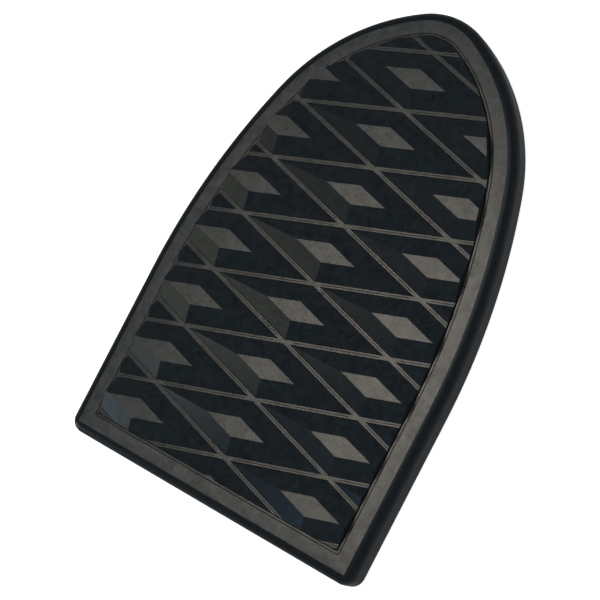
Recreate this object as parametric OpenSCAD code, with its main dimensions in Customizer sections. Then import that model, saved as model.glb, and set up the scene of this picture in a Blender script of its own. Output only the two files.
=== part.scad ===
// Snowboard stomp pad: a moulded edge frame holding a traction panel of low flat-topped
// pyramids, with mounting tape and a split release liner below.
// Z = 0 is the surface that the pad lies on. The origin is under the middle of its outline.
// The round tip points along +Y and the straight edge faces -Y.

/* [Outline] */
// Full width of the pad
pad_w = 90; // [86:1:96]
// Length of each straight side, from the flat band's lower edge up
side_l = 44.5; // [36:0.5:52]
// Radius of the long curve above each straight side
side_r = 182; // [176:1:190]
// Angle turned by that long curve
side_turn = 18; // [17:0.5:19]
// Radius of the shoulder curve
shoulder_r = 52; // [50:1:54]
// Angle turned by the shoulder curve, before the round tip takes over
shoulder_turn = 45.4; // [43:0.2:46]

/* [Edge frame] */
// Radius of the rounded outer edge
edge_r = 2.6; // [1.5:0.1:3.5]
// Corner radius at the two lower corners, outside
corner_r = 3.5; // [3.2:0.1:5]
// Width of the flat top band
band_w = 3.45; // [2.5:0.05:5]
// Height of the flat top band above the ground
band_z = 7.8; // [7:0.1:9]
// Height of the frame's underside above the ground
frame_z = 0.3; // [0.3:0.05:0.6]
// Thickness of the frame's floor
floor_t = 1.8; // [1.2:0.1:2.4]

/* [Traction panel] */
// Gap all round between frame and panel, seen as a fine line
seam_gap = 0.2; // [0.1:0.05:0.4]
// Width of the lip between the seam and the pattern
lip_w = 0.7; // [0.4:0.05:1.2]
// Height of the lattice strips above the band
strip_rise = 0.5; // [0.2:0.1:1]
// Width of the flat lattice strips
strip_w = 1.05; // [0.8:0.05:1.5]
// Half the length of one lattice cell, across the pad
cell_half_x = 27.5; // [25:0.5:30]
// Half the width of one lattice cell, along the pad
cell_half_y = 8.15; // [7.5:0.05:9]
// Size of a pyramid's flat top as a share of its cell
top_share = 0.327; // [0.25:0.01:0.4]
// Height of the pyramids above the strips
stud_rise = 2.2; // [1.5:0.1:3]
// Distance from the band's lower edge to the first pyramid of the middle column
first_row = 18.6; // [16:0.1:21]

/* [Mounting] */
// Thickness of the film that bonds the panel to the frame
bond_t = 0.2; // [0.1:0.05:0.3]
// Thickness of the foam tape
tape_t = 1.1; // [0.8:0.1:1.2]
// Distance of the tape's edge inside the band's outer edge
tape_inset = 1.2; // [1:0.1:3]
// Gap round the tape in its recess
tape_gap = 0.2; // [0.1:0.05:0.3]
// Thickness of the release liner
liner_t = 0.2; // [0.15:0.05:0.3]
// Width of the slit between the two liner halves
slit_w = 0.4; // [0.2:0.1:1]

/* [Hidden] */
$fn = 180;
round_fn = 72;         // for the rounded body, which is made of flats
edge_steps = 5;
layer_t = 0.01;
reach = 200;           // longer than the pad
lap = 4;               // overlap between the pieces that make up an outline
panel_corner_r = 0.8;  // lower corners of the panel
pattern_corner_r = 0.3;
half_w = pad_w / 2 - edge_r;                       // from the middle to the band's outer edge
tip_turn = side_turn + shoulder_turn;              // where the shoulder meets the round tip
side_cx = half_w - side_r;
shoulder_cx = side_cx + (side_r - shoulder_r) * cos(side_turn);
shoulder_dy = (side_r - shoulder_r) * sin(side_turn);
tip_r = shoulder_cx / cos(tip_turn) + shoulder_r;
tip_dy = shoulder_dy + (shoulder_r - tip_r) * sin(tip_turn);
band_l = side_l + tip_dy + tip_r;
low_y = -band_l / 2;                               // the band's lower edge
arch_y = low_y + side_l;                           // where the sides begin to curve
shoulder_cy = arch_y + shoulder_dy;
tip_cy = arch_y + tip_dy;
band_corner_r = corner_r - edge_r;
round_z = band_z - edge_r;                         // where the rounded edge begins
tape_z = liner_t + tape_t;
floor_z = tape_z + floor_t;
panel_z = floor_z + bond_t;
strip_z = band_z + strip_rise;
stud_z = strip_z + stud_rise;
panel_out = -band_w - seam_gap;                    // outlines, measured from the band's outer edge
pattern_out = panel_out - lip_w;
bond_out = panel_out - 0.5;
strip_angle = atan(cell_half_y / cell_half_x);
half_pitch = cell_half_x * sin(strip_angle);       // half the distance between parallel strips
flank_x = half_pitch * (1 - top_share);            // from a strip's middle to a flat top
flank_slope = (flank_x - strip_w / 2) / stud_rise;
cut_over = 0.8;                                    // how far a groove cutter reaches above the tops
first_strip_y = low_y + first_row - cell_half_y;
strip_rows = ceil(band_l / (2 * cell_half_y));

// The area below a ray that leaves [cx, cy] at an angle
module below_ray(cx, cy, angle) {
    polygon([[-lap, arch_y - lap],
             [reach, arch_y - lap],
             [reach, cy + (reach - cx) * tan(angle)],
             [-lap, cy - (lap + cx) * tan(angle)]]);
}

// The right half of the pad's outline, d outside the band's outer edge, with corner radius c
module half_outline(d, c) {
    right = half_w + d;
    low = low_y - d;
    translate([-lap, low + c]) square([right + lap, side_l + d - c]);
    translate([-lap, low]) square([right + lap - c, c + lap]);
    translate([right - c, low + c]) circle(r = c);
    intersection() {
        translate([side_cx, arch_y]) circle(r = side_r + d);
        below_ray(side_cx, arch_y, side_turn);
    }
    intersection() {
        translate([shoulder_cx, shoulder_cy]) circle(r = shoulder_r + d);
        below_ray(shoulder_cx, shoulder_cy, tip_turn);
    }
}

// The whole outline: straight lower edge and sides, then curves up to a round tip
module outline(d, c) {
    half_outline(d, c);
    mirror([1, 0]) half_outline(d, c);
    translate([0, tip_cy]) circle(r = tip_r + d);
}

module slab(d, c, low, high) {
    translate([0, 0, low]) linear_extrude(height = high - low) outline(d, c);
}

// The frame's solid outer form: upright sides, and a top edge rounded in edge_steps flats
module rounded_body() {
    hull() {
        slab(edge_r, corner_r, frame_z, round_z, $fn = round_fn);
        for (step = [1 : edge_steps]) {
            angle = 90 * step / edge_steps;
            out = edge_r * cos(angle);
            top = round_z + edge_r * sin(angle);
            slab(out, band_corner_r + out, top - layer_t, top, $fn = round_fn);
        }
    }
}

// Outer moulding: floor, upright rim with a flat top band, and the rounded outer wall
module edge_frame() {
    color("#24282b")
    difference() {
        rounded_body();
        slab(-band_w, panel_corner_r, floor_z, band_z + 1);
        slab(tape_gap - tape_inset, 1, frame_z - 1, tape_z);
    }
}

// A groove with a flat floor, the strip, and a pyramid flank on each side
module strip_groove(y, angle) {
    top_x = flank_x + flank_slope * cut_over;
    translate([0, y, 0])
        rotate([90, 0, 90 + angle])
            linear_extrude(height = reach, center = true)
                polygon([[-strip_w / 2, strip_z],
                         [strip_w / 2, strip_z],
                         [top_x, stud_z + cut_over],
                         [-top_x, stud_z + cut_over]]);
}

// Softer moulding: a lip all round, and two crossing sets of grooves that leave the pyramids
module traction_panel() {
    color("#3a3d3f")
    difference() {
        union() {
            slab(panel_out, panel_corner_r, panel_z, band_z);
            slab(pattern_out, pattern_corner_r, panel_z, stud_z);
        }
        for (row = [-1 : strip_rows + 1]) {
            strip_groove(first_strip_y + row * 2 * cell_half_y, strip_angle);
            strip_groove(first_strip_y + row * 2 * cell_half_y, -strip_angle);
        }
    }
}

// Transfer adhesive between the panel and the frame's floor
module panel_bond() {
    color("#c9c4b0") slab(bond_out, panel_corner_r, floor_z, panel_z);
}

// Mounting tape in the recess under the frame
module foam_tape() {
    color("#5b5e60") slab(-tape_inset, 1, liner_t, tape_z);
}

// One half of the release liner, on the side of the given sign
module liner_half(side) {
    intersection() {
        slab(-tape_inset, 1, 0, liner_t);
        translate([side > 0 ? slit_w / 2 : -reach, -reach, -1])
            cube([reach - slit_w / 2, 2 * reach, liner_t + 2]);
    }
}

module liner_left() {
    color("#e8e4d8") liner_half(-1);
}

module liner_right() {
    color("#e8e4d8") liner_half(1);
}

edge_frame();
traction_panel();
panel_bond();
foam_tape();
liner_left();
liner_right();
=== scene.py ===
"""Snowboard stomp pad: looks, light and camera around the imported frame.

Lengths in the shape functions are in millimetres, and every mesh is made in metres.
"""
import math

import bmesh
import bpy
from mathutils import Matrix, Vector


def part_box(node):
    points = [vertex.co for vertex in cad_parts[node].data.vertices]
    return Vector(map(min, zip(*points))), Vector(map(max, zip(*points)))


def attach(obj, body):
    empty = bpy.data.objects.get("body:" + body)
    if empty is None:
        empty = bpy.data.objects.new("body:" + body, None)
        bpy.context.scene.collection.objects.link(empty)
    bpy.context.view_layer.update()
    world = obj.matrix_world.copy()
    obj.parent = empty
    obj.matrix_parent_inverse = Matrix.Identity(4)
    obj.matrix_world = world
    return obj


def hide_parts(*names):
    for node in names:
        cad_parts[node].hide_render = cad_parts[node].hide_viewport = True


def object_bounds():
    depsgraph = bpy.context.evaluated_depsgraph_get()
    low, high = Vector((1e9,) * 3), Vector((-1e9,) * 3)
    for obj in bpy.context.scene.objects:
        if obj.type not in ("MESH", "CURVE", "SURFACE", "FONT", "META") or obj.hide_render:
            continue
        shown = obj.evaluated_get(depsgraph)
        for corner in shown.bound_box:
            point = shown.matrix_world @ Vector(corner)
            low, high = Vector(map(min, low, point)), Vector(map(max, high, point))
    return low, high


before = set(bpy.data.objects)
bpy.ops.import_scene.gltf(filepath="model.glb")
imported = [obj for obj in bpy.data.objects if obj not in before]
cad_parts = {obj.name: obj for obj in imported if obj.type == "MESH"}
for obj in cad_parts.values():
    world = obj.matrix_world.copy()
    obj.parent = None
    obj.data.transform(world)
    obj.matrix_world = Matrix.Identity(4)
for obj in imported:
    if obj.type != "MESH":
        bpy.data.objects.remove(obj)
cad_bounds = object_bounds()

MM = 0.001

# ---------------------------------------------------------------- the pad's outline

EDGE_R = 2.6                      # rounded outer edge
SIDE_L = 44.5                     # straight part of each side
SIDE_R = 182.0
SIDE_TURN = math.radians(18.0)
SHOULDER_R = 52.0
SHOULDER_TURN = math.radians(45.4)

frame_low, frame_high = (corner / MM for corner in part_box("edge_frame"))
panel_low, panel_high = (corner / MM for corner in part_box("traction_panel"))
bond_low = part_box("panel_bond")[0] / MM
tape_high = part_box("foam_tape")[1] / MM

HALF_W = frame_high.x - EDGE_R    # from the middle to the band's outer edge
LOW_Y = frame_low.y + EDGE_R      # the band's lower edge
ARCH_Y = LOW_Y + SIDE_L
TIP_TURN = SIDE_TURN + SHOULDER_TURN
SIDE_CX = HALF_W - SIDE_R
SHOULDER_CX = SIDE_CX + (SIDE_R - SHOULDER_R) * math.cos(SIDE_TURN)
SHOULDER_CY = ARCH_Y + (SIDE_R - SHOULDER_R) * math.sin(SIDE_TURN)
TIP_R = SHOULDER_CX / math.cos(TIP_TURN) + SHOULDER_R
TIP_CY = SHOULDER_CY + (SHOULDER_R - TIP_R) * math.sin(TIP_TURN)

LOW_STEPS = 6                     # segments on each part of half an outline
CORNER_STEPS = 10
SIDE_STEPS = 6
ARC_STEPS = 18
TIP_STEPS = 12


def arc(cx, cy, radius, start, turn, steps):
    """Points on an arc, without its first one."""
    points = []
    for step in range(1, steps + 1):
        angle = start + turn * step / steps
        points.append((cx + radius * math.cos(angle), cy + radius * math.sin(angle)))
    return points


def outline(d, c):
    """The pad's outline d outside the band's outer edge, with lower corners of radius c.

    It starts at the middle of the lower edge and runs anticlockwise. Every outline has the same number of
    points, so two of them can be joined point by point.
    """
    right = HALF_W + d
    low = LOW_Y - d
    half = [((right - c) * step / LOW_STEPS, low) for step in range(LOW_STEPS + 1)]
    half += arc(right - c, low + c, c, -math.pi / 2, math.pi / 2, CORNER_STEPS)
    side = ARCH_Y - (low + c)
    half += [(right, low + c + side * step / SIDE_STEPS) for step in range(1, SIDE_STEPS + 1)]
    half += arc(SIDE_CX, ARCH_Y, SIDE_R + d, 0.0, SIDE_TURN, ARC_STEPS)
    half += arc(SHOULDER_CX, SHOULDER_CY, SHOULDER_R + d, SIDE_TURN, SHOULDER_TURN, ARC_STEPS)
    half += arc(0.0, TIP_CY, TIP_R + d, TIP_TURN, math.pi / 2 - TIP_TURN, TIP_STEPS)
    half[-1] = (0.0, half[-1][1])
    return half + [(-x, y) for x, y in reversed(half[1:-1])]


# ---------------------------------------------------------------- mesh helpers

SHARP_ANGLE = math.radians(24)


def finish_mesh(bm, name, materials, smooth=False):
    """An object from the bmesh, in millimetres, with its normals outwards and its creases sharp."""
    bmesh.ops.recalc_face_normals(bm, faces=bm.faces)
    for face in bm.faces:
        face.smooth = smooth
    for edge in bm.edges:
        edge.smooth = edge.is_manifold and edge.calc_face_angle(math.pi) < SHARP_ANGLE
    bmesh.ops.scale(bm, vec=(MM, MM, MM), verts=bm.verts)
    mesh = bpy.data.meshes.new(name)
    bm.to_mesh(mesh)
    bm.free()
    for material in materials:
        mesh.materials.append(material)
    piece = bpy.data.objects.new(name, mesh)
    bpy.context.scene.collection.objects.link(piece)
    return piece


def join_rings(bm, lower, upper, material):
    """Quads between two rings with the same number of points."""
    count = len(lower)
    for i in range(count):
        j = (i + 1) % count
        face = bm.faces.new((lower[i], lower[j], upper[j], upper[i]))
        face.material_index = material


# ---------------------------------------------------------------- edge frame

BAND_W = 3.44
BAND_FALL = 0.06                  # the band falls a little towards its outer edge
BAND_CORNER_R = 0.15
WALL_CORNER_R = 3.5
POCKET_CORNER_R = 0.8
POCKET_BEVEL = 0.06
ROUND_STEPS = 12                  # segments on the rounded outer edge
BASE_BEVEL = 0.2
TAPE_GAP_OUT = -1.0               # wall of the recess that holds the tape
TAPE_GAP_CORNER_R = 1.0
# The GLOSS faces (flanks, outer wall), DARK faces and GROOVE faces get rubbers painted darker than SATIN, as
# painted shade.
SATIN, GLOSS, DARK, GROOVE = 0, 1, 2, 3      # material indices on both mouldings


def frame_profile():
    """The frame's section as (offset, corner radius, height, material), from its underside to its pocket."""
    base = frame_low.z
    band = frame_high.z
    rise = band - BAND_FALL - EDGE_R
    section = [
        (TAPE_GAP_OUT, TAPE_GAP_CORNER_R, tape_high.z, DARK),
        (TAPE_GAP_OUT, TAPE_GAP_CORNER_R, base, DARK),
        (EDGE_R - BASE_BEVEL, WALL_CORNER_R - BASE_BEVEL, base, GLOSS),
        (EDGE_R, WALL_CORNER_R, base + BASE_BEVEL, GLOSS),
    ]
    for step in range(ROUND_STEPS + 1):
        angle = math.pi / 2 * step / ROUND_STEPS
        out = EDGE_R * math.cos(angle)
        corner = BAND_CORNER_R + (WALL_CORNER_R - BAND_CORNER_R) * out / EDGE_R
        section.append((out, corner, rise + EDGE_R * math.sin(angle), GLOSS))
    section += [
        (-BAND_W + POCKET_BEVEL, POCKET_CORNER_R, band, SATIN),
        (-BAND_W, POCKET_CORNER_R, band - POCKET_BEVEL, DARK),
        (-BAND_W, POCKET_CORNER_R, bond_low.z, DARK),
    ]
    return section


def make_frame(materials):
    """The edge frame, lofted through its section's outlines."""
    bm = bmesh.new()
    rings = []
    for d, c, z, material in frame_profile():
        ring = [bm.verts.new((x, y, z)) for x, y in outline(d, c)]
        if rings:
            join_rings(bm, rings[-1], ring, material)
        rings.append(ring)
    bm.faces.new(rings[0]).material_index = DARK
    bm.faces.new(rings[-1]).material_index = DARK
    return finish_mesh(bm, "Edge_frame", materials, smooth=True)


# ---------------------------------------------------------------- traction panel

CELL_X = 27.5                     # half a cell across the pad
CELL_Y = 8.15                     # half a cell along the pad
FIRST_ROW = 18.6                  # from the band's lower edge to the first middle pyramid
STUD_RISE = 2.2
TOP_SHARE = 0.327
STRIP_EDGE = 0.49                 # half the flat width of a strip
GROOVE_W = 0.10                   # half the width of the groove along each strip
GROOVE_DEPTH = 0.09
GROOVE_START = 2.2                # from a crossing to the groove's point
GROOVE_FULL = 3.3                 # from a crossing to the groove's full width
PATTERN_OUT = -4.42               # the pattern's edge, from the band's outer edge
PATTERN_CORNER_R = 0.3
MERGE_GAP = 0.002                 # corners nearer than this are one corner

STRIP_ANGLE = math.atan2(CELL_Y, CELL_X)
HALF_PITCH = CELL_X * math.sin(STRIP_ANGLE)
TOP_EDGE = HALF_PITCH * (1 - TOP_SHARE)
STRIP_Z = panel_high.z - STUD_RISE
FIRST_Y = LOW_Y + FIRST_ROW

# Contours of a cell from the strip inwards, as (distance from the strip's middle, height above it, material)
CELL_CONTOURS = [
    (STRIP_EDGE, 0.0, SATIN),
    (0.52, -0.04, SATIN),
    (0.58, -0.16, GLOSS),
    (0.68, -0.05, DARK),
    (TOP_EDGE - 0.04, STUD_RISE - 0.03, GLOSS),
    (TOP_EDGE + 0.03, STUD_RISE, SATIN),
]


def cell_corners(cx, cy, inset, z):
    """The four corners of a cell's contour, from the right one anticlockwise."""
    half_x = CELL_X - inset / math.sin(STRIP_ANGLE)
    half_y = CELL_Y - inset / math.cos(STRIP_ANGLE)
    return [(cx + half_x, cy, z), (cx, cy + half_y, z), (cx - half_x, cy, z), (cx, cy - half_y, z)]


def cell_faces(cx, cy):
    """A pyramid with its crease, its four flanks and its flat top, as (corners, material)."""
    faces = []
    contours = [cell_corners(cx, cy, inset, STRIP_Z + z) for inset, z, _ in CELL_CONTOURS]
    for k in range(1, len(contours)):
        material = CELL_CONTOURS[k][2]
        for i in range(4):
            j = (i + 1) % 4
            faces.append(([contours[k - 1][i], contours[k - 1][j], contours[k][j], contours[k][i]], material))
    faces.append((contours[-1], SATIN))
    return faces


def strip_faces(px, py, side):
    """The strip from one crossing to the next one up, towards the given side, as (corners, material).

    A point on it is u along the strip, v across it and z above it.
    """
    length = math.hypot(CELL_X, CELL_Y)
    cos_a = side * math.cos(STRIP_ANGLE)
    sin_a = math.sin(STRIP_ANGLE)

    def at(u, v, z=0.0):
        return (px + cos_a * u - side * sin_a * v, py + sin_a * u + side * cos_a * v, STRIP_Z + z)

    near = STRIP_EDGE * math.tan(STRIP_ANGLE)
    far = STRIP_EDGE / math.tan(STRIP_ANGLE)
    faces = []
    for edge in (1, -1):
        start, end = (near, far) if edge > 0 else (far, near)
        start_corner = at(start, edge * STRIP_EDGE)
        end_corner = at(length - end, edge * STRIP_EDGE)
        groove = [
            at(GROOVE_START, 0),
            at(GROOVE_FULL, edge * GROOVE_W),
            at(length - GROOVE_FULL, edge * GROOVE_W),
            at(length - GROOVE_START, 0),
        ]
        floor_start = at(GROOVE_FULL, 0, -GROOVE_DEPTH)
        floor_end = at(length - GROOVE_FULL, 0, -GROOVE_DEPTH)
        faces += [
            ([at(0, 0), groove[0], groove[1], start_corner], SATIN),
            ([start_corner, groove[1], groove[2], end_corner], SATIN),
            ([end_corner, groove[2], groove[3], at(length, 0)], SATIN),
            ([groove[0], floor_start, groove[1]], GROOVE),
            ([groove[1], floor_start, floor_end, groove[2]], GROOVE),
            ([groove[2], floor_end, groove[3]], GROOVE),
        ]
    return faces


def pattern_faces():
    """Every cell and strip that the pad could touch."""
    faces = []
    columns = math.ceil(HALF_W / CELL_X) + 1
    rows = math.ceil((TIP_CY + TIP_R - FIRST_Y) / CELL_Y) + 2
    for column in range(-columns, columns + 1):
        for row in range(-3, rows):
            x = column * CELL_X
            y = FIRST_Y + row * CELL_Y
            if (column + row) % 2 == 0:
                faces += cell_faces(x, y)
            else:
                faces += strip_faces(x, y, 1)
                faces += strip_faces(x, y, -1)
    return faces


def clip(corners, border):
    """The part of a flat polygon inside a convex border that runs anticlockwise."""
    for i, (ax, ay) in enumerate(border):
        bx, by = border[(i + 1) % len(border)]
        sides = [(bx - ax) * (y - ay) - (by - ay) * (x - ax) for x, y, _ in corners]
        if min(sides) >= 0:
            continue
        if max(sides) <= 0:
            return []
        kept = []
        for j, point in enumerate(corners):
            k = (j + 1) % len(corners)
            if sides[j] >= 0:
                kept.append(point)
            if (sides[j] > 0) != (sides[k] > 0) and sides[j] != sides[k]:
                share = sides[j] / (sides[j] - sides[k])
                kept.append(tuple(p + (q - p) * share for p, q in zip(point, corners[k])))
        corners = kept
        if len(corners) < 3:
            return []
    return corners


def place_on(border, x, y):
    """Where a point lies on a closed line: its segment's number plus the share along it."""
    best = None
    for i, (ax, ay) in enumerate(border):
        bx, by = border[(i + 1) % len(border)]
        dx, dy = bx - ax, by - ay
        share = ((x - ax) * dx + (y - ay) * dy) / max(dx * dx + dy * dy, 1e-12)
        share = min(max(share, 0.0), 1.0)
        gap = math.hypot(ax + dx * share - x, ay + dy * share - y)
        if best is None or gap < best[0]:
            best = (gap, i + share)
    return best[1]


def point_on(border, place):
    """The point of a closed line at a place that place_on gave."""
    i = int(place)
    share = place - i
    ax, ay = border[i % len(border)]
    bx, by = border[(i + 1) % len(border)]
    return ax + (bx - ax) * share, ay + (by - ay) * share


def panel_edge_profile():
    """The panel's edge, outwards from the pattern, as (offset, corner radius, height, material).

    A gap runs round the pattern, then comes the lip, then the fine seam beside the frame's band.
    """
    lip = frame_high.z
    gap_floor = lip - 0.55
    lip_inner = PATTERN_OUT + 0.26
    seam = -BAND_W
    return [
        (PATTERN_OUT, PATTERN_CORNER_R, gap_floor, DARK),
        (lip_inner, 0.45, gap_floor, DARK),
        (lip_inner, 0.45, lip - 0.06, DARK),
        (lip_inner + 0.05, 0.5, lip, SATIN),
        (seam - 0.19, 0.85, lip, SATIN),
        (seam - 0.18, 0.9, lip - 0.10, GROOVE),
        (seam - 0.16, 0.9, lip - 0.24, DARK),
        (seam - 0.02, 0.9, lip - 0.28, DARK),
        (seam - 0.02, 0.9, panel_low.z, DARK),
    ]


def make_panel(materials):
    """The traction panel: the clipped pattern, then columns of vertices down its edge, and a flat base."""
    bm = bmesh.new()
    border = outline(PATTERN_OUT, PATTERN_CORNER_R)
    known = {}

    def vert(point):
        """The mesh's vertex at that point, shared by every face that meets there."""
        key = tuple(round(value, 3) for value in point)
        if key not in known:
            known[key] = bm.verts.new(point)
        return known[key]

    for corners, material in pattern_faces():
        kept = clip(corners, border)
        verts = []
        for point in kept:
            v = vert(point)
            if not verts or v not in (verts[-1], verts[0]):
                verts.append(v)
        if len(set(verts)) == len(verts) >= 3:
            bm.faces.new(verts).material_index = material
    bmesh.ops.remove_doubles(bm, verts=bm.verts, dist=MERGE_GAP)

    rim = [edge for edge in bm.edges if len(edge.link_faces) == 1]
    places = {v: place_on(border, v.co.x, v.co.y) for edge in rim for v in edge.verts}
    columns = {v: [v] for v in places}
    for d, c, z, material in panel_edge_profile():
        ring = outline(d, c)
        for v, place in places.items():
            x, y = point_on(ring, place)
            columns[v].append(bm.verts.new((x, y, z)))
        for edge in rim:
            first, second = (columns[v] for v in edge.verts)
            face = bm.faces.new((first[-2], second[-2], second[-1], first[-1]))
            face.material_index = material
    around = sorted(places, key=lambda v: places[v])
    bm.faces.new([columns[v][-1] for v in around]).material_index = DARK
    return finish_mesh(bm, "Traction_panel", materials)


# ---------------------------------------------------------------- materials

def new_material(name):
    material = bpy.data.materials.new(name)
    material.use_nodes = True
    tree = material.node_tree
    return material, tree, tree.nodes["Principled BSDF"]


def feed(tree, socket, value):
    """Links a socket's value to the input, or sets a plain one."""
    if isinstance(value, bpy.types.NodeSocket):
        tree.links.new(value, socket)
    else:
        socket.default_value = value


def add(tree, kind, **inputs):
    """A node of that kind, with its named inputs set or linked."""
    node = tree.nodes.new(kind)
    for key, value in inputs.items():
        feed(tree, node.inputs[key], value)
    return node


def noise(tree, scale, detail=3.0, roughness=0.55, stretch=(1, 1, 1), turn=0.0, distortion=0.0):
    """Noise in the object's own frame. Scale is in features for each metre."""
    coords = tree.nodes.new("ShaderNodeTexCoord").outputs["Object"]
    mapped = add(tree, "ShaderNodeMapping", Vector=coords, Scale=stretch, Rotation=(0, 0, turn))
    texture = add(tree, "ShaderNodeTexNoise", Vector=mapped.outputs[0], Scale=scale, Detail=detail,
                  Roughness=roughness, Distortion=distortion)
    return texture.outputs["Fac"]


def remap(tree, value, low, high, out_low, out_high):
    """The value with low to high stretched to out_low to out_high, and held at those ends."""
    node = tree.nodes.new("ShaderNodeMapRange")
    tree.links.new(value, node.inputs["Value"])
    node.inputs["From Min"].default_value = low
    node.inputs["From Max"].default_value = high
    node.inputs["To Min"].default_value = out_low
    node.inputs["To Max"].default_value = out_high
    return node.outputs["Result"]


def math_node(tree, operation, first, second):
    node = tree.nodes.new("ShaderNodeMath")
    node.operation = operation
    feed(tree, node.inputs[0], first)
    feed(tree, node.inputs[1], second)
    return node.outputs[0]


def weighted_sum(tree, *parts):
    """The sum of (value, weight) parts."""
    total = None
    for value, weight in parts:
        part = math_node(tree, "MULTIPLY", value, weight)
        total = part if total is None else math_node(tree, "ADD", total, part)
    return total


def mix_colour(tree, share, first, second):
    """The first colour at share 0, the second at share 1. The numbers are the node's colour sockets."""
    node = tree.nodes.new("ShaderNodeMix")
    node.data_type = "RGBA"
    feed(tree, node.inputs[0], share)
    feed(tree, node.inputs[6], first)
    feed(tree, node.inputs[7], second)
    return node.outputs[2]


def bump(tree, shader, height, distance, strength=1.0, normal=None):
    """Bumps of that height on the shader, in metres, on top of the given normal if there is one."""
    node = add(tree, "ShaderNodeBump", Height=height, Distance=distance, Strength=strength)
    if normal is not None:
        tree.links.new(normal, node.inputs["Normal"])
    tree.links.new(node.outputs["Normal"], shader.inputs["Normal"])
    return node.outputs["Normal"]


def rubber(name, dark, light, rough_low, rough_high, grain, specular=0.5):
    """Moulded rubber: cloudy smudges, fine grain, faint rub marks and a changing polish.

    Its colour lies between dark and light, and its roughness between rough_low, where it is most polished,
    and rough_high. The grain is its bumps' height in metres.
    """
    material, tree, shader = new_material(name)
    cloud = noise(tree, 430, detail=5, roughness=0.62, distortion=0.7)
    fine = noise(tree, 2400, detail=2, roughness=0.6)
    rub = noise(tree, 900, detail=3, stretch=(1, 0.07, 1), turn=0.9)
    mixed = weighted_sum(tree, (cloud, 0.68), (fine, 0.2), (rub, 0.12))
    share = remap(tree, mixed, 0.36, 0.64, 0.0, 1.0)
    tree.links.new(mix_colour(tree, share, dark, light), shader.inputs["Base Color"])
    polish = weighted_sum(tree, (cloud, 0.8), (rub, 0.2))
    tree.links.new(remap(tree, polish, 0.35, 0.65, rough_high, rough_low), shader.inputs["Roughness"])
    height = math_node(tree, "ADD", math_node(tree, "MULTIPLY", fine, 0.5), noise(tree, 5200, detail=2))
    bump(tree, shader, height, grain)
    shader.inputs["Specular IOR Level"].default_value = specular
    return material


def recess_painted_shade():
    """The matt bottoms of seams and creases, and the hidden faces, painted darker than the tops and band as
    shade in the seams and creases.
    """
    return rubber("Recess_painted_shade_rubber", (0.008, 0.009, 0.010, 1), (0.016, 0.017, 0.018, 1), 0.5, 0.7, 0.00002)


def groove_painted_shade():
    """The shallow groove along each strip, rougher than the strip and painted a little darker than it, as
    painted shade in the groove.
    """
    return rubber("Groove_painted_shade_rubber", (0.009, 0.010, 0.011, 1), (0.022, 0.023, 0.024, 1), 0.35, 0.5, 0.00002)


def satin_top():
    """The panel's upward faces: pyramid tops, strips and lip."""
    dark = (0.0072, 0.0108, 0.0126, 1)
    light = (0.030, 0.0365, 0.0376, 1)
    return rubber("Panel_top_rubber", dark, light, 0.06, 0.15, 0.00003, specular=0.42)


def satin_band():
    """The frame's flat band, a little duller than the panel's tops."""
    dark = (0.0110, 0.0150, 0.0172, 1)
    light = (0.0455, 0.0485, 0.0500, 1)
    return rubber("Band_rubber", dark, light, 0.11, 0.23, 0.00003)


def flank_painted_shade():
    """The pyramids' flanks, cleaner than their tops, and painted darker and bluer than them: painted shade
    with a painted blue reflection on the same rubber.
    """
    dark = (0.0027, 0.0055, 0.0081, 1)
    light = (0.0107, 0.0147, 0.0178, 1)
    return rubber("Panel_flank_painted_shade_rubber", dark, light, 0.10, 0.17, 0.00001)


def wall_painted_shade():
    """The frame's outer wall and its rounded edge, painted darker and bluer than the band of the same
    moulding: painted shade with a painted blue reflection.
    """
    dark = (0.0020, 0.0040, 0.0060, 1)
    light = (0.0055, 0.0088, 0.0115, 1)
    return rubber("Frame_wall_painted_shade_rubber", dark, light, 0.18, 0.28, 0.000008)


def foam():
    """Closed-cell foam tape: fine cells, and a slightly shiny coat of adhesive."""
    material, tree, shader = new_material("Tape_foam")
    coords = tree.nodes.new("ShaderNodeTexCoord").outputs["Object"]
    cells = add(tree, "ShaderNodeTexVoronoi", Vector=coords, Scale=2600.0)
    cloud = noise(tree, 90, detail=4)
    share = remap(tree, cloud, 0.35, 0.65, 0.0, 1.0)
    tone = mix_colour(tree, share, (0.085, 0.089, 0.093, 1), (0.125, 0.13, 0.135, 1))
    tree.links.new(tone, shader.inputs["Base Color"])
    tree.links.new(remap(tree, cells.outputs["Distance"], 0.0, 0.6, 0.42, 0.68), shader.inputs["Roughness"])
    bump(tree, shader, cells.outputs["Distance"], 0.00006, 0.7)
    return material


def bond_film():
    """Clear transfer adhesive, cloudy from its fine bubbles."""
    material, tree, shader = new_material("Bond_film")
    cloud = noise(tree, 700, detail=4)
    share = remap(tree, cloud, 0.4, 0.6, 0.0, 1.0)
    tone = mix_colour(tree, share, (0.55, 0.53, 0.45, 1), (0.68, 0.66, 0.58, 1))
    tree.links.new(tone, shader.inputs["Base Color"])
    tree.links.new(remap(tree, cloud, 0.3, 0.7, 0.18, 0.35), shader.inputs["Roughness"])
    bump(tree, shader, cloud, 0.00002, 0.5)
    return material


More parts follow.
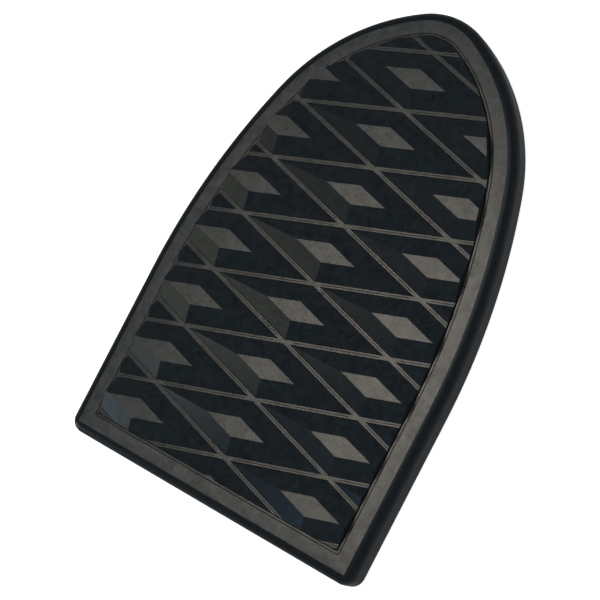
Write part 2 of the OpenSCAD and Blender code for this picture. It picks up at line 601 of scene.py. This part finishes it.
def liner_film():
    """Coated release paper: faint fibres, slight waves and a waxy shine."""
    material, tree, shader = new_material("Release_liner")
    fibre = noise(tree, 1500, detail=4, stretch=(1, 0.12, 1), turn=0.35)
    cross = noise(tree, 1300, detail=4, stretch=(0.12, 1, 1), turn=-0.5)
    cloud = noise(tree, 70, detail=4)
    mixed = weighted_sum(tree, (fibre, 0.35), (cross, 0.3), (cloud, 0.35))
    share = remap(tree, mixed, 0.4, 0.6, 0.0, 1.0)
    tone = mix_colour(tree, share, (0.58, 0.53, 0.43, 1), (0.70, 0.65, 0.55, 1))
    tree.links.new(tone, shader.inputs["Base Color"])
    tree.links.new(remap(tree, mixed, 0.4, 0.6, 0.42, 0.3), shader.inputs["Roughness"])
    wave = bump(tree, shader, cloud, 0.0006, 0.35)
    bump(tree, shader, mixed, 0.00003, 0.5, wave)
    return material


def paint_node(name, material):
    """A CAD node keeps its exact shape and gets this material."""
    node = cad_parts[name]
    node.data.materials.clear()
    node.data.materials.append(material)


# ---------------------------------------------------------------- floor, light and camera

FLOOR_DROP = 0.1                  # the floor lies this far below the liner
FLOOR_REACH = 3.0                 # half the floor's width, in metres
VIEW_TARGET = Vector((-1.32, -12.30, 8.3)) * MM
VIEW_DISTANCE = 451.4 * MM
VIEW_TILT = math.radians(25.64)   # from straight down
VIEW_HEADING = math.radians(178.37)
VIEW_ROLL = math.radians(27.36)
LENS = 108.0                      # in mm, on a sensor 36 mm wide
SENSOR_W = 36.0


def make_floor():
    """A plain white floor, dim in reflections so that it doesn't grey the pad's black walls."""
    material, tree, shader = new_material("Floor_white")
    shade = noise(tree, 6, detail=2)
    tone = mix_colour(tree, shade, (0.86, 0.86, 0.86, 1), (0.9, 0.9, 0.9, 1))
    glossy = tree.nodes.new("ShaderNodeLightPath").outputs["Is Glossy Ray"]
    tree.links.new(mix_colour(tree, glossy, tone, (0.08, 0.08, 0.08, 1)), shader.inputs["Base Color"])
    tree.links.new(remap(tree, glossy, 0.0, 1.0, 0.55, 0.13), shader.inputs["Emission Strength"])
    shader.inputs["Roughness"].default_value = 0.9
    shader.inputs["Specular IOR Level"].default_value = 0.0
    shader.inputs["Emission Color"].default_value = (1, 1, 1, 1)
    mesh = bpy.data.meshes.new("Floor")
    level = cad_bounds[0][2] - FLOOR_DROP * MM
    corners = [(x * FLOOR_REACH, y * FLOOR_REACH, level) for x, y in ((-1, -1), (1, -1), (1, 1), (-1, 1))]
    mesh.from_pydata(corners, [], [(0, 1, 2, 3)])
    mesh.materials.append(material)
    floor = bpy.data.objects.new("Floor", mesh)
    bpy.context.scene.collection.objects.link(floor)


def soft_light(name, direction, distance, width, height, power, colour, shine=True):
    """A rectangular light in that direction from the pad, turned towards it, in metres and watts.

    Its width is its level side. It shows in reflections only if shine is true.
    """
    light = bpy.data.lights.new(name, "AREA")
    light.shape = "RECTANGLE"
    light.size = width
    light.size_y = height
    light.energy = power
    light.color = colour
    lamp = bpy.data.objects.new(name, light)
    away = Vector(direction).normalized()
    lamp.location = away * distance
    lamp.rotation_euler = away.to_track_quat("Z", "Y").to_euler()
    lamp.visible_glossy = shine
    lamp.visible_camera = False
    bpy.context.scene.collection.objects.link(lamp)


def make_lights():
    """A fill light from above, and soft boxes that the pad's faces mirror towards the camera."""
    soft_light("Overhead_fill", (0.15, -0.1, 1.0), 1.2, 1.4, 1.4, 8, (1.0, 0.99, 0.97), shine=False)
    soft_light("Top_softbox", (-0.331, 0.000, 0.9436), 1.2, 0.40, 0.178, 1.72, (1.0, 0.89, 0.74))
    soft_light("Zenith_softbox", (0.06, 0.20, 0.978), 1.2, 0.54, 0.6, 0.50, (0.93, 1.0, 0.98))
    soft_light("Window_left", (-0.715, -0.740, 0.360), 1.07, 0.08, 0.08, 0.025, (0.34, 0.66, 1.0))
    soft_light("Window_right", (-0.505, -0.815, 0.425), 1.04, 0.07, 0.07, 0.030, (0.24, 0.58, 1.0))
    soft_light("Corner_lamp", (-0.68, -0.72, 0.115), 1.09, 0.30, 0.23, 0.9, (0.85, 0.95, 1.0))
    soft_light("Low_softbox", (-0.71, -0.60, 0.38), 1.0, 0.26, 0.26, 0.115, (1.0, 0.96, 0.66))


def make_world():
    """A pale room, dim in reflections, as if it were hung with black cloth."""
    world = bpy.data.worlds.new("Studio")
    bpy.context.scene.world = world
    world.use_nodes = True
    tree = world.node_tree
    background = tree.nodes["Background"]
    background.inputs["Color"].default_value = (0.96, 0.98, 1.0, 1)
    glossy = tree.nodes.new("ShaderNodeLightPath").outputs["Is Glossy Ray"]
    strength = remap(tree, glossy, 0.0, 1.0, 0.5, 0.11)
    tree.links.new(strength, background.inputs["Strength"])


def make_camera():
    """The camera at its tilt, heading and roll, looking at VIEW_TARGET."""
    camera = bpy.data.cameras.new("Camera")
    camera.sensor_width = SENSOR_W
    camera.lens = LENS
    camera.clip_start = 0.01
    camera.dof.use_dof = False
    forward = Vector((math.sin(VIEW_TILT) * math.cos(VIEW_HEADING),
                      math.sin(VIEW_TILT) * math.sin(VIEW_HEADING),
                      -math.cos(VIEW_TILT)))
    right = forward.cross(Vector((0, 1, 0))).normalized()
    up = right.cross(forward)
    turn = Matrix.Rotation(-VIEW_ROLL, 3, forward)
    view = bpy.data.objects.new("Camera", camera)
    view.matrix_world = Matrix((turn @ right, turn @ up, -forward)).transposed().to_4x4()
    view.location = VIEW_TARGET - forward * VIEW_DISTANCE
    bpy.context.scene.collection.objects.link(view)
    bpy.context.scene.camera = view


# ---------------------------------------------------------------- the model

# The recess rubber's darker colour is painted shade in the seams and creases.
recess = recess_painted_shade()
frame_piece = make_frame([satin_band(), wall_painted_shade(), recess])
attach(frame_piece, "pad")
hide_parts("edge_frame")

panel_piece = make_panel([satin_top(), flank_painted_shade(), recess, groove_painted_shade()])
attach(panel_piece, "pad")
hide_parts("traction_panel")

paint_node("foam_tape", foam())
paint_node("panel_bond", bond_film())
liner_material = liner_film()
paint_node("liner_left", liner_material)
paint_node("liner_right", liner_material)

make_floor()
make_world()
make_lights()
make_camera()
bpy.context.scene.view_settings.view_transform = "Standard"
bpy.context.scene.view_settings.look = "None"
